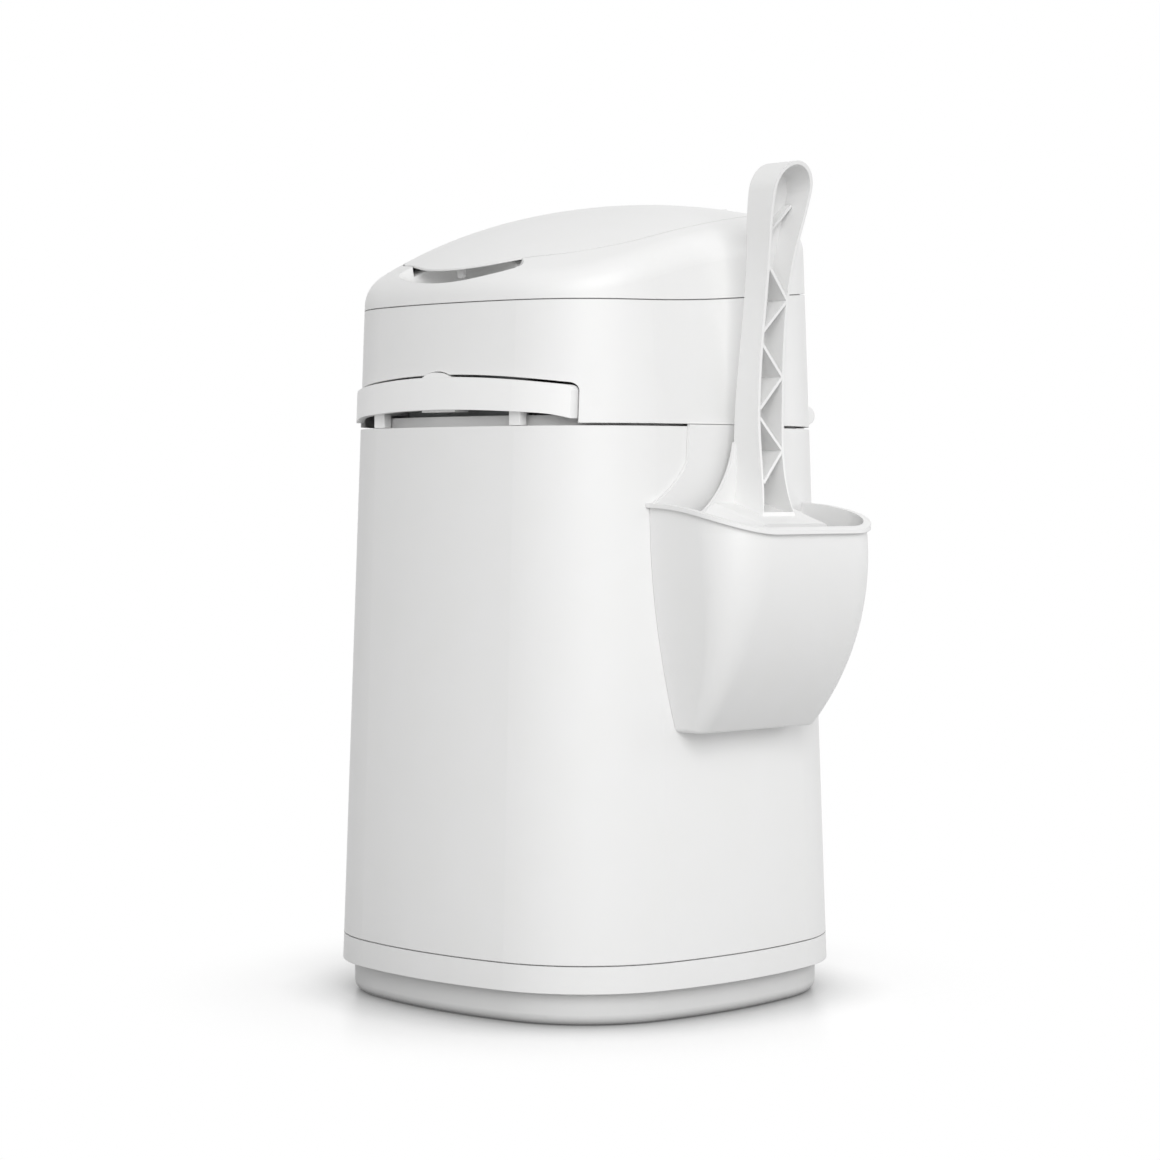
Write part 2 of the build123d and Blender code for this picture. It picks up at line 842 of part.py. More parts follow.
with BuildPart() as film_pack:
    with BuildSketch(Plane.XY.offset(cassette_low + cassette_wall + seat_gap)):
        Circle(cassette_radius - cassette_wall - side_gap)
        Circle(throat_radius + cassette_wall + side_gap, mode=Mode.SUBTRACT)
    extrude(amount=film_height)
    chamfer(film_pack.faces().sort_by(Axis.Z)[-1].edges(), film_height / 6)
finish("film_pack", film_pack.part)

# ---------------------------------------------------------------- clamp tray, jaws and springs
jaw_front = pinch_y - jaw_lip - running_gap * 3 - jaw_depth
jaw_back = pinch_y + jaw_lip + running_gap * 3
spring_end = jaw_front + 0.9 * jaw_depth

with BuildPart() as slider_tray:
    add(block(tray_low, tray_top, tray_inset))
    with BuildSketch(Plane.XY.offset(tray_low)):
        RectangleRounded(2 * tray_hole_x, 2 * tray_hole_y, 2 * post_radius)
    extrude(amount=tray_thick, mode=Mode.SUBTRACT)
    with BuildSketch(Plane.XY.offset(tray_top)):
        with GridLocations(2 * (jaw_half + side_gap) + rail_thick, 0, 2, 1):
            Rectangle(rail_thick, 2 * tray_hole_y + 2 * rail_thick)
    extrude(amount=rail_rise)
    with BuildSketch(Plane.XY.offset(tray_top)):
        with Locations((spring_x, spring_back + rail_thick / 2), (-spring_x, spring_back + rail_thick / 2)):
            Rectangle(2 * spring_radius, rail_thick)
    extrude(amount=spring_height + spring_radius - tray_top)
    with BuildSketch(Plane.XY.offset(tray_top)):
        with Locations((0, finger_wall_set - half_width)):
            Rectangle(2 * finger_wall_half, finger_wall)
    extrude(amount=seat_low - side_gap - tray_top)
    with BuildSketch(Plane.XY.offset(tray_low)):
        with posts:
            Circle(screw_radius + running_gap)
    extrude(amount=tray_thick, mode=Mode.SUBTRACT)
finish("slider_tray", slider_tray.part)

with BuildPart() as tray_screws:
    with BuildSketch(Plane.XY.offset(tray_low)):
        with posts:
            Circle(screw_radius)
    extrude(amount=2 * screw_head + tray_thick)
    with BuildSketch(Plane.XY.offset(tray_low)):
        with posts:
            Circle(screw_head)
    extrude(amount=-screw_radius)
    with BuildSketch(Plane.XY.offset(tray_low - screw_radius)):
        with posts:
            RegularPolygon(screw_radius, 6)
    extrude(amount=screw_radius / 2, mode=Mode.SUBTRACT)
finish("tray_screws", tray_screws.part)

with BuildPart() as fixed_jaw:
    with BuildSketch(Plane.XY.offset(tray_top)):
        with Locations((0, jaw_back + jaw_depth / 2)):
            Rectangle(2 * jaw_half, jaw_depth)
    extrude(amount=jaw_top - tray_top)
    fillet(fixed_jaw.edges().filter_by(Axis.X).group_by(Axis.Z)[-1], jaw_lip)
    with BuildSketch(Plane.XZ.offset(-jaw_back - jaw_depth)):
        with GridLocations(jaw_half / 2, 0, 4, 1):
            with Locations((0, (tray_top + jaw_top) / 2)):
                Rectangle(jaw_half / 2 - rail_thick, jaw_top - tray_top - 2 * rail_thick)
    extrude(amount=jaw_depth - rail_thick, mode=Mode.SUBTRACT)
finish("fixed_jaw", fixed_jaw.part)

moving_low = tray_top + side_gap
with BuildPart() as moving_jaw:
    with BuildSketch(Plane.XY.offset(moving_low)):
        with Locations((0, jaw_front + jaw_depth / 2)):
            Rectangle(2 * jaw_half, jaw_depth)
    extrude(amount=jaw_top - moving_low)
    fillet(moving_jaw.edges().filter_by(Axis.X).group_by(Axis.Z)[-1], jaw_lip)
    with BuildSketch(Plane.XY.offset(spring_height - spring_radius)):
        with Locations((0, jaw_front + 0.45 * jaw_depth)):
            Rectangle(2 * (spring_x + spring_radius), 0.9 * jaw_depth)
    extrude(amount=2 * spring_radius)
finish("moving_jaw", moving_jaw.part)

lip_low = (moving_low + jaw_top - jaw_lip_height) / 2
for name, centre in (("moving_lip", pinch_y - jaw_lip / 2), ("fixed_lip", pinch_y + jaw_lip / 2)):
    hand = 1 if centre > pinch_y else -1
    with BuildPart() as soft_lip:
        with BuildSketch(Plane.XY.offset(lip_low)):
            with Locations((0, centre + hand * 3 * running_gap)):
                Rectangle(2 * jaw_lip_half, jaw_lip)
        extrude(amount=jaw_lip_height)
    finish(name, soft_lip.part)

with BuildPart() as return_springs:
    with BuildSketch(Plane.XZ.offset(-spring_end - seat_gap)):
        with GridLocations(2 * spring_x, 0, 2, 1):
            with Locations((0, spring_height)):
                Circle(spring_radius)
                Circle(spring_radius - spring_wire, mode=Mode.SUBTRACT)
    extrude(amount=-(spring_back - spring_end - 2 * seat_gap))
finish("return_springs", return_springs.part)

# ---------------------------------------------------------------- pull handle and its button
with BuildPart() as band_column:
    with BuildSketch(front_view.offset(half_width / 2)):
        add(band_front(0))
    extrude(amount=half_width)

boss_low = button_low - 2 * spring_radius
band_in = handle_thick - handle_proud
with BuildPart() as pull_handle:
    add(ring(handle_low_end - arm_height, handle_top + arm_height, -handle_proud, band_in))
    add(band_column.part, mode=Mode.INTERSECT)
    band_face = wall_at(handle_low, 0, band_in - 0.5)
    with BuildSketch(Plane.XY.offset(boss_low - rail_thick)):
        with Locations((0, -(band_face - boss_back) / 2)):
            Rectangle(2 * boss_half, band_face + boss_back)
    extrude(amount=handle_top - boss_low + rail_thick - seat_gap)
    arm_front = wall_at(arm_low, arm_x, band_in - 0.5)
    with BuildSketch(Plane.XY.offset(arm_low)):
        with Locations((arm_x, (jaw_front - arm_front) / 2), (-arm_x, (jaw_front - arm_front) / 2)):
            Rectangle(arm_width, arm_front + jaw_front)
    extrude(amount=arm_height)
    lug_front = wall_at(body_top, lug_x, band_in - side_gap)
    lug_back = wall_at(body_top, lug_x - lug_width / 2, collar_step - 2 * side_gap)
    with BuildSketch(Plane.XY.offset(body_top + side_gap)):
        with Locations((lug_x, -(lug_front + lug_back) / 2), (-lug_x, -(lug_front + lug_back) / 2)):
            Rectangle(lug_width, lug_front - lug_back)
    extrude(amount=arm_low - body_top + side_gap)
    with BuildSketch(Plane.XY.offset(boss_low)):
        with Locations((0, (button_back - wall_at(handle_top, 0, 1 - handle_proud)) / 2)):
            Rectangle(
                2 * (button_half + button_gap),
                wall_at(handle_top, 0, 1 - handle_proud) + button_back + 2 * button_gap,
            )
    extrude(amount=arm_height * 3, mode=Mode.SUBTRACT)
finish("pull_handle", pull_handle.part)

with BuildPart() as release_button:
    with BuildSketch(front_view.offset(-button_back)):
        with BuildLine():
            arch = ThreePointArc(
                (-button_half, button_shoulder), (0, button_top), (button_half, button_shoulder)
            )
            Polyline(arch @ 1, (button_half, button_low), (-button_half, button_low), arch @ 0)
        make_face()
    extrude(amount=wall_at(handle_top, 0, 1 - handle_proud) + button_back)
finish("release_button", release_button.part)

with BuildPart() as button_spring:
    with BuildSketch(Plane.XY.offset(boss_low + seat_gap)):
        with Locations((0, button_back - side_gap - spring_radius)):
            Circle(spring_radius)
            Circle(spring_radius - spring_wire, mode=Mode.SUBTRACT)
    extrude(amount=button_low - boss_low - 2 * seat_gap)
finish("button_spring", button_spring.part)


# ---------------------------------------------------------------- scoop holder
def holder_half_at(height):
    """Half width of the holder pocket: upright above its turn, drawn in along an arc below it."""
    drop = max(0, holder_turn - height)
    return holder_half - holder_side_radius + sqrt(holder_side_radius**2 - drop**2)


def holder_front_at(height):
    """How far out the front of the holder pocket stands."""
    drop = max(0, holder_turn - height)
    return holder_front - holder_front_radius + sqrt(holder_front_radius**2 - drop**2)


def pocket_form(inset, low):
    """The holder pocket as a solid, set in by inset, from low up past its rim."""
    back = half_width / 2
    levels = [low + (holder_turn - low) * share / 4 for share in range(5)]
    with BuildPart() as form:
        for height in levels:
            front = holder_front_at(height) - inset
            rise = (height - holder_foot) / (holder_turn - holder_foot)
            corner = holder_corner_foot + (holder_corner_top - holder_corner_foot) * rise
            with BuildSketch(Plane.XY.offset(height)) as level:
                with Locations(((back + front) / 2, 0)):
                    Rectangle(front - back, 2 * (holder_half_at(height) - inset))
                fillet(level.vertices().group_by(Axis.X)[-1], corner - inset)
        loft()
        extrude(form.faces().sort_by(Axis.Z)[-1], amount=rim_back - holder_turn + bead_height)
    return form.part


def under_rim(drop):
    """Space under the holder's rim line, lowered by drop."""
    with BuildPart() as space:
        with BuildSketch(Plane.XZ.offset(-far / 2)):
            with BuildLine():
                rim = ThreePointArc(
                    (half_width * 0.88, rim_back - drop),
                    (rim_mid_x, rim_mid - drop),
                    (holder_front + bead_proud, rim_front - drop),
                )
                Polyline(rim @ 1, (1.1 * (holder_front + bead_proud), 0.97 * rim_front - drop))
                Polyline(
                    (1.1 * (holder_front + bead_proud), 0.97 * rim_front - drop),
                    (1.1 * (holder_front + bead_proud), 0),
                    (0, 0),
                    (0, rim_back - drop),
                    rim @ 0,
                )
            make_face()
        extrude(amount=far)
    return space.part


pail_space = block(holder_foot - far / 4, head_axis_height, -seat_gap)
pocket_outer = pocket_form(0, holder_foot)
pocket_inner = pocket_form(holder_wall, holder_foot + holder_wall)
below_rim = under_rim(0)

with BuildPart() as rim_bead:
    add(pocket_form(-bead_proud, holder_foot))
    add(below_rim, mode=Mode.INTERSECT)
    add(under_rim(bead_height), mode=Mode.SUBTRACT)

hook_top = body_top + seat_gap + hook_thick
plate_low = holder_foot + holder_wall / 2
plate_mid = (holder_turn + plate_low) / 2
plate_in = holder_wall / 2
with BuildPart() as plate_column:
    with BuildSketch(Plane.YZ.offset(half_width / 2)):
        with BuildLine():
            for hand in (1, -1):
                upright = Line((hand * hanger_half, hook_top), (hand * hanger_waist_half, hanger_waist))
                sweep_out = ThreePointArc(
                    upright @ 1,
                    (hand * (hanger_waist_half * 0.72 + holder_half * 0.28), 0.58 * hanger_waist + 0.42 * rim_back),
                    (hand * (holder_half - plate_in), rim_back),
                )
                side = Line(sweep_out @ 1, (hand * (holder_half - plate_in), holder_turn))
                ThreePointArc(
                    side @ 1,
                    (hand * (holder_half_at(plate_mid) - plate_in), plate_mid),
                    (hand * (holder_half_at(plate_low) - plate_in), plate_low),
                )
            plate_foot = holder_half_at(plate_low) - plate_in
            Line((-hanger_half, hook_top), (hanger_half, hook_top))
            Line((-plate_foot, plate_low), (plate_foot, plate_low))
        make_face()
    extrude(amount=half_width)

with BuildPart() as hook_column:
    with Locations((half_width, 0, body_top)):
        Box(half_width, 2 * hook_half, 4 * collar_groove)

hook_in = body_wall + seat_gap + hook_thick + running_gap
with BuildPart() as hook:
    add(ring(body_top + seat_gap, hook_top, -seat_gap - plate_thick / 2, hook_in))
    add(ring(body_top - hook_turn, hook_top, body_wall + seat_gap + running_gap, hook_in))
    add(hook_column.part, mode=Mode.INTERSECT)

with BuildPart() as back_plate:
    add(ring(plate_low, hook_top, -seat_gap - plate_thick, -seat_gap))
    add(plate_column.part, mode=Mode.INTERSECT)

with BuildPart() as scoop_holder:
    add(pocket_outer)
    fillet(scoop_holder.faces().sort_by(Axis.Z)[0].edges(), holder_foot_round)
    add(pocket_inner, mode=Mode.SUBTRACT)
    add(below_rim, mode=Mode.INTERSECT)
    add(rim_bead.part)
    add(pocket_inner, mode=Mode.SUBTRACT)
    add(pail_space, mode=Mode.SUBTRACT)
    add(back_plate.part)
    add(hook.part)
finish("scoop_holder", scoop_holder.part)

# ---------------------------------------------------------------- scoop
pan_tip = holder_foot + holder_wall + side_gap


def pan_column(inset):
    """The scoop pan, drawn in as it goes outwards, with its floor curved, set in by inset."""
    with BuildPart() as form:
        with BuildSketch(Plane.YZ.offset(scoop_back)) as face:
            with BuildLine():
                Polyline(
                    (-pan_top_half, pan_top - inset),
                    (-pan_shoulder_half + inset, pan_top - fan_drop - inset / 2),
                    (-pan_wide_half + inset, pan_wide),
                    (-pan_tip_half + inset, pan_tip + inset),
                    (pan_tip_half - inset, pan_tip + inset),
                    (pan_wide_half - inset, pan_wide),
                    (pan_shoulder_half - inset, pan_top - fan_drop - inset / 2),
                    (pan_top_half, pan_top - inset),
                    close=True,
                )
            make_face()
            fillet(face.vertices().group_by(Axis.Y)[0], pan_corner - inset)
        extrude(amount=pan_depth + pan_corner, taper=scoop_draft)
        with BuildSketch(Plane.XZ.offset(-far / 2)):
            with BuildLine():
                floor = RadiusArc(
                    (scoop_back + pan_tip_depth - inset, pan_tip),
                    (scoop_back + pan_depth - inset, pan_top),
                    -1.35 * holder_front_radius,
                )
                Polyline(floor @ 1, (scoop_back - far / 4, pan_top), (scoop_back - far / 4, pan_tip), floor @ 0)
            make_face()
        extrude(amount=far, mode=Mode.INTERSECT)
    return form.part


pan_outer = pan_column(0)
pan_inner = pan_column(scoop_wall)


def grip_outline(inset):
    """The handle seen from the pail's side: a loop with a narrow waist, set in by inset."""
    foot = pan_top - grip_waist + 2 * inset
    with BuildSketch() as face:
        with BuildLine():
            CenterArc((0, grip_centre), grip_radius - inset, 0, 180)
            for hand in (1, -1):
                Spline(
                    (hand * (grip_radius - inset), grip_centre),
                    (hand * (0.6 * grip_waist + 0.4 * grip_radius - inset), rib_apexes[2] + 1.7 * rib_rise),
                    (hand * (grip_waist - inset), rib_apexes[2] - rib_rise / 3),
                    (hand * (grip_waist + rib_thick / 2 - inset), rib_apexes[0] + rib_rise),
                    (hand * (grip_root - inset), foot),
                    tangents=((0, -1), (hand * rib_thick, -grip_waist / 2)),
                )
            Line((inset - grip_root, foot), (grip_root - inset, foot))
        make_face()
    return face.sketch


# the handle is a channel open to the front, stiffened by arrowhead ribs and one low lone rib
rib_reach = 2 * (grip_waist - handle_wall / 2)
rib_length = hypot(rib_reach, rib_rise)
rib_angle = degrees(atan2(rib_rise, rib_reach))
rib_face = Plane.YZ.offset(scoop_back - grip_radius)
rib_depth = 3 * grip_radius + pan_depth


def handle_side(back_shift, front_shift):
    """The handle seen from the front of the pail's side: its leaning back and front, shifted outwards."""
    foot = pan_top - 2 * grip_waist
    back = scoop_back + back_shift
    front = scoop_back + front_shift
    with BuildPart() as side:
        with BuildSketch(Plane.XZ.offset(-half_width)):
            with BuildLine():
                back_foot = Line((back, foot), (back + grip_foot_out, grip_foot_height))
                back_run = ThreePointArc(
                    back_foot @ 1, (back + grip_mid_out, grip_mid_height), (back + grip_top_out, grip_top_height)
                )
                front_run = ThreePointArc(
                    (front + grip_front_top_out, grip_top_height),
                    (front + grip_front_mid_out, grip_front_mid_height),
                    (front + grip_front_low_out, grip_front_low_height),
                )
                front_foot = ThreePointArc(
                    front_run @ 1,
                    (front + grip_front_foot_out, grip_front_foot_height),
                    (front + grip_front_root_out, grip_front_root_height),
                )
                Line(back_run @ 1, front_run @ 0)
                Polyline(front_foot @ 1, (front + grip_front_root_out, foot), back_foot @ 0)
            make_face()
        extrude(amount=2 * half_width)
    return side.part


with BuildPart() as handle_body:
    with BuildSketch(rib_face):
        add(grip_outline(0))
    extrude(amount=rib_depth)
    add(handle_side(0, 0), mode=Mode.INTERSECT)

with BuildPart() as handle_hollow:
    with BuildSketch(rib_face):
        add(grip_outline(handle_wall))
    extrude(amount=rib_depth)
    add(handle_side(handle_wall, handle_wall), mode=Mode.INTERSECT)

with BuildPart() as arrow_ribs:
    with BuildSketch(rib_face):
        for apex in rib_apexes:
            for lean in (1, -1):
                with Locations((0, apex + lean * rib_rise / 2)):
                    Rectangle(rib_length, rib_thick, rotation=-lean * rib_angle)
        add(grip_outline(handle_wall / 2), mode=Mode.INTERSECT)
    extrude(amount=rib_depth)
    add(handle_side(handle_wall / 2, 0), mode=Mode.INTERSECT)

with BuildPart() as low_rib:
    with BuildSketch(rib_face):
        with Locations((0, lone_rib)):
            Rectangle(rib_length * 1.4, rib_thick, rotation=rib_angle)
        add(grip_outline(handle_wall / 2), mode=Mode.INTERSECT)
    extrude(amount=rib_depth)
    add(handle_side(handle_wall / 2, 0), mode=Mode.INTERSECT)
    add(handle_side(handle_wall + lone_rib_height, handle_wall + lone_rib_height), mode=Mode.SUBTRACT)

with BuildPart() as heel_fan:
    fan_in = grip_waist - fan_lap
    with BuildSketch(Plane.YZ.offset(scoop_back)):
        with BuildLine():
            for hand in (1, -1):
                flare = ThreePointArc(
                    (hand * (grip_waist + fan_lap), fan_height),
                    (hand * fan_mid_half, fan_mid_height),
                    (hand * pan_shoulder_half, pan_top - fan_drop),
                )
                Line(flare @ 0, (hand * fan_in, fan_height))
                Line((hand * fan_in, fan_height), (hand * fan_in, pan_top + fan_skirt))
                Line(flare @ 1, (hand * pan_shoulder_half, pan_top - fan_drop - fan_skirt))
            Line((-fan_in, pan_top + fan_skirt), (fan_in, pan_top + fan_skirt))
            Line(
                (-pan_shoulder_half, pan_top - fan_drop - fan_skirt),
                (pan_shoulder_half, pan_top - fan_drop - fan_skirt),
            )
        make_face()
    extrude(amount=scoop_wall)

with BuildPart() as scoop:
    add(handle_body.part)
    add(handle_hollow.part, mode=Mode.SUBTRACT)
    add(arrow_ribs.part)
    add(low_rib.part)
    add(heel_fan.part)
    add(pan_outer)
    add(pan_inner, mode=Mode.SUBTRACT)
    with BuildSketch(Plane.YZ.offset(scoop_back + scoop_wall)):
        with Locations((0, (slot_low + slot_high) / 2)):
            with GridLocations(slot_pitch, 0, slot_count, 1):
                SlotOverall(slot_high - slot_low, slot_width, rotation=90)
    extrude(amount=far / 2, mode=Mode.SUBTRACT)
finish("scoop", scoop.part)
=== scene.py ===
import math

import bpy
import bmesh
from mathutils import Euler, Matrix, Vector, noise


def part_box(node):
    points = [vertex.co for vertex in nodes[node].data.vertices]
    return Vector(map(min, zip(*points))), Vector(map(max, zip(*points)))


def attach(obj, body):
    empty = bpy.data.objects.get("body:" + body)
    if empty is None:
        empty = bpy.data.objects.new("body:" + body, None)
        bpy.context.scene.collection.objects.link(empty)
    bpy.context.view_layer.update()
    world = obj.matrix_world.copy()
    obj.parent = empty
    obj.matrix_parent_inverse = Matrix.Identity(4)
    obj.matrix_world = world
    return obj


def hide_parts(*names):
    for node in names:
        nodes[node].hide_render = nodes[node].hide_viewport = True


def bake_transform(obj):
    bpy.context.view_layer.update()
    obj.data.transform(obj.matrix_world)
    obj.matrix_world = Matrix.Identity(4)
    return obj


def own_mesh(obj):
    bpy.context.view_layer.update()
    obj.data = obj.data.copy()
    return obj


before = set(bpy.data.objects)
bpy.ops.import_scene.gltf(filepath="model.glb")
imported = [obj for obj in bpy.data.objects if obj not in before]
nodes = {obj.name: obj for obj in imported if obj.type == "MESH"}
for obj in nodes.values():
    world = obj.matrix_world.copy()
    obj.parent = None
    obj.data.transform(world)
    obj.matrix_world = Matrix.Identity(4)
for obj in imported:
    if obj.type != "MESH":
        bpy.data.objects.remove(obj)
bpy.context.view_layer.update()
print("frame loaded:", len(nodes), "pieces")


def hexToLinear(hexColour, alpha=1.0):
    channels = []
    for place in (0, 2, 4):
        value = int(hexColour[place + 1:place + 3], 16) / 255
        channels.append(value / 12.92 if value <= 0.04045 else ((value + 0.055) / 1.055) ** 2.4)
    return (*channels, alpha)


def addNode(tree, kind, settings=None, values=None, links=None):
    node = tree.nodes.new(kind)
    for name, value in (settings or {}).items():
        setattr(node, name, value)
    for name, value in (values or {}).items():
        node.inputs[name].default_value = value
    for name, source in (links or {}).items():
        tree.links.new(source, node.inputs[name])
    return node


def newMaterial(name):
    material = bpy.data.materials.new(name)
    material.use_nodes = True
    material.node_tree.nodes.clear()
    return material, material.node_tree


def finishMaterial(tree, shader):
    addNode(tree, "ShaderNodeOutputMaterial", links={"Surface": shader.outputs[0]})


def dress(names, material):
    for name in names:
        slots = nodes[name].data.materials
        slots.clear()
        slots.append(material)


glossAbs = {
    "colour": "#EDEDED",        # plain white, a touch under paper white
    "warmPatch": "#EBEBEA",     # where the pellet mix came out a shade warmer
    "patchSize": 22,            # mm, flow marks in the moulding
    "ior": 1.53,
    "roughness": 0.40,          # soft gloss off a fine-stoned tool
    "roughnessDrift": 0.02,
    "orangePeel": 5.5,          # mm, faint waviness left by the tool
    "peelHeight": 0.012,        # mm
    "edgeRadius": 0.45,         # mm, edges broken by the tool
}


def makeMouldedPlastic(name, look):
    # injection moulded plastic: an even colour, a sheen that drifts a little, edges that catch a thin line of light
    material, tree = newMaterial(name)
    place = addNode(tree, "ShaderNodeTexCoord").outputs["Object"]
    drift = addNode(tree, "ShaderNodeTexNoise",
                    values={"Scale": 1000 / look["patchSize"], "Detail": 2.0, "Roughness": 0.4},
                    links={"Vector": place})
    tone = addNode(tree, "ShaderNodeMix", settings={"data_type": "RGBA"},
                   values={"A": hexToLinear(look["colour"]), "B": hexToLinear(look["warmPatch"])},
                   links={"Factor": drift.outputs["Fac"]})
    sheen = addNode(tree, "ShaderNodeMapRange",
                    values={"From Min": 0.0, "From Max": 1.0,
                            "To Min": look["roughness"] - look["roughnessDrift"],
                            "To Max": look["roughness"] + look["roughnessDrift"]},
                    links={"Value": drift.outputs["Fac"]})
    peel = addNode(tree, "ShaderNodeTexNoise",
                   values={"Scale": 1000 / look["orangePeel"], "Detail": 3.0, "Roughness": 0.5},
                   links={"Vector": place})
    softEdge = addNode(tree, "ShaderNodeBevel", settings={"samples": 4},
                       values={"Radius": look["edgeRadius"] / 1000})
    bump = addNode(tree, "ShaderNodeBump",
                   values={"Strength": 1.0, "Distance": look["peelHeight"] / 1000},
                   links={"Height": peel.outputs["Fac"], "Normal": softEdge.outputs["Normal"]})
    shader = addNode(tree, "ShaderNodeBsdfPrincipled",
                     values={"IOR": look["ior"], "Metallic": 0.0},
                     links={"Base Color": tone.outputs["Result"], "Roughness": sheen.outputs["Result"],
                            "Normal": bump.outputs["Normal"]})
    finishMaterial(tree, shader)
    return material


# ABS off a finely stoned tool: plain white with a soft, wide sheen
whiteAbs = makeMouldedPlastic("glossWhiteAbs", glossAbs)
# the same ABS, a little glossier, for what the hand pulls and presses; its whiter colour is painted light
litHandleAbs = makeMouldedPlastic("handlePaintedLightAbs", {**glossAbs, "colour": "#F6F6F6", "warmPatch": "#F4F4F3",
                                                  "roughness": 0.36})
# ABS off a plain tool, duller, for the parts inside; its touch greyer colour is painted shade
insidePaintedShadeAbs = makeMouldedPlastic("insideShadedMattAbs", {**glossAbs, "colour": "#E5E5E5", "warmPatch": "#E2E2E1",
                                               "roughness": 0.42, "orangePeel": 1.4, "peelHeight": 0.02})
# ABS with a dull texture, coloured darker than the body: painted shade for the foot, close over the floor under the
# band
footPaintedShadeAbs = makeMouldedPlastic("footShadedDullAbs", {**glossAbs, "colour": "#E2E2E2", "warmPatch": "#E0E0DF",
                                              "roughness": 0.46})
# ABS coloured light grey: matt, so the clamp stands out inside the white head
greyAbs = makeMouldedPlastic("lightGreyAbs", {**glossAbs, "colour": "#B9BBBD", "warmPatch": "#B5B7B8",
                                              "roughness": 0.45, "orangePeel": 1.2, "peelHeight": 0.03})
# moulded polypropylene: waxy, faintly blue, a little shinier than the ABS round it
cassettePp = makeMouldedPlastic("cassettePolypropylene", {**glossAbs, "colour": "#D9DCDF", "warmPatch": "#D6D9DB",
                                                          "ior": 1.49, "roughness": 0.36, "orangePeel": 2.0,
                                                          "peelHeight": 0.02})
# moulded thermoplastic elastomer: soft grey rubber with hardly any shine
softTpe = makeMouldedPlastic("softSealTpe", {**glossAbs, "colour": "#9DA0A3", "warmPatch": "#999C9E",
                                             "ior": 1.50, "roughness": 0.7, "orangePeel": 0.9,
                                             "peelHeight": 0.03})
# blown polyethylene film: pale blue and shiny, crumpled along its folds
filmPe = makeMouldedPlastic("gatheredFilmPe", {**glossAbs, "colour": "#CBD3DB", "warmPatch": "#C3CBD4",
                                               "ior": 1.51, "roughness": 0.2, "orangePeel": 3.0,
                                               "peelHeight": 0.25})

drawnWire = {
    "colour": "#B7B7B9",
    "roughness": 0.28,
    "smoother": 0.06,     # how far the roughness falls and rises between die marks
    "rougher": 0.08,
    "drawLine": 0.35,     # mm, die marks along the wire
    "drawHeight": 0.004,  # mm
}


def makeDrawnSteel(name, look):
    # drawn spring steel: grey mirror-like metal with fine die marks
    material, tree = newMaterial(name)
    place = addNode(tree, "ShaderNodeTexCoord").outputs["Object"]
    marks = addNode(tree, "ShaderNodeTexNoise",
                    values={"Scale": 1000 / look["drawLine"], "Detail": 2.0},
                    links={"Vector": place})
    bump = addNode(tree, "ShaderNodeBump", values={"Distance": look["drawHeight"] / 1000},
                   links={"Height": marks.outputs["Fac"]})
    shine = addNode(tree, "ShaderNodeMapRange",
                    values={"To Min": look["roughness"] - look["smoother"],
                            "To Max": look["roughness"] + look["rougher"]},
                    links={"Value": marks.outputs["Fac"]})
    shader = addNode(tree, "ShaderNodeBsdfPrincipled",
                     values={"Base Color": hexToLinear(look["colour"]), "Metallic": 1.0},
                     links={"Normal": bump.outputs["Normal"], "Roughness": shine.outputs["Result"]})
    finishMaterial(tree, shader)
    return material


springSteel = makeDrawnSteel("drawnSpringSteel", drawnWire)

dress(["foot_tray"], footPaintedShadeAbs)
dress(["base_ring", "outer_body", "head_housing", "top_shell", "flip_lid", "scoop_holder", "scoop"], whiteAbs)
dress(["pull_handle", "release_button"], litHandleAbs)
dress(["rim_collar", "lid_liner", "cassette_seat"], insidePaintedShadeAbs)
dress(["slider_tray", "fixed_jaw", "moving_jaw"], greyAbs)
dress(["lid_seal", "moving_lip", "fixed_lip"], softTpe)
dress(["cassette_case", "cassette_cap"], cassettePp)
dress(["head_hinge_pins", "lid_hinge_pin", "tray_screws"], springSteel)
print("materials set on the CAD pieces")


def placePiece(name, form, material, slot, *replaced):
    mesh = bpy.data.meshes.new(name)
    form.to_mesh(mesh)
    form.free()
    for face in mesh.polygons:
        face.use_smooth = True
    mesh.materials.append(material)
    piece = bpy.data.objects.new(name, mesh)
    bpy.context.scene.collection.objects.link(piece)
    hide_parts(*replaced)
    return piece


def addCoil(form, foot, rise, coil):
    # a round wire turned up a helix from foot along rise, its ends closed
    up = rise.normalized()
    out = up.orthogonal().normalized()
    steps = round(coil["turns"] * coil["stepsPerTurn"])
    climb = (rise.length - coil["wire"]) / steps
    ring = bmesh.ops.create_circle(form, cap_ends=False, segments=coil["wireSides"], radius=coil["wire"] / 2)["verts"]
    turned = Matrix((out, up, out.cross(up))).transposed().to_4x4()
    turned.translation = foot + up * coil["wire"] / 2 + out * (coil["radius"] - coil["wire"] / 2)
    bmesh.ops.transform(form, matrix=turned, verts=ring)
    wire = list({edge for vert in ring for edge in vert.link_edges})
    made = bmesh.ops.spin(form, geom=ring + wire, cent=foot, axis=up, dvec=up * climb, steps=steps,
                          angle=2 * math.pi * coil["turns"], use_merge=False, use_duplicate=False)
    last = [part for part in made["geom_last"] if isinstance(part, bmesh.types.BMEdge)]
    for loop in (wire, last):
        bmesh.ops.contextual_create(form, geom=loop)


pullSpring = {
    "turns": 33,          # open coils at rest, so the light shows between them
    "radius": 0.0036,     # m, outside
    "wire": 0.0009,       # m
    "wireSides": 10,
    "stepsPerTurn": 20,
}
buttonCoil = {
    "turns": 5,
    "radius": 0.0036,
    "wire": 0.0008,
    "wireSides": 10,
    "stepsPerTurn": 24,
}


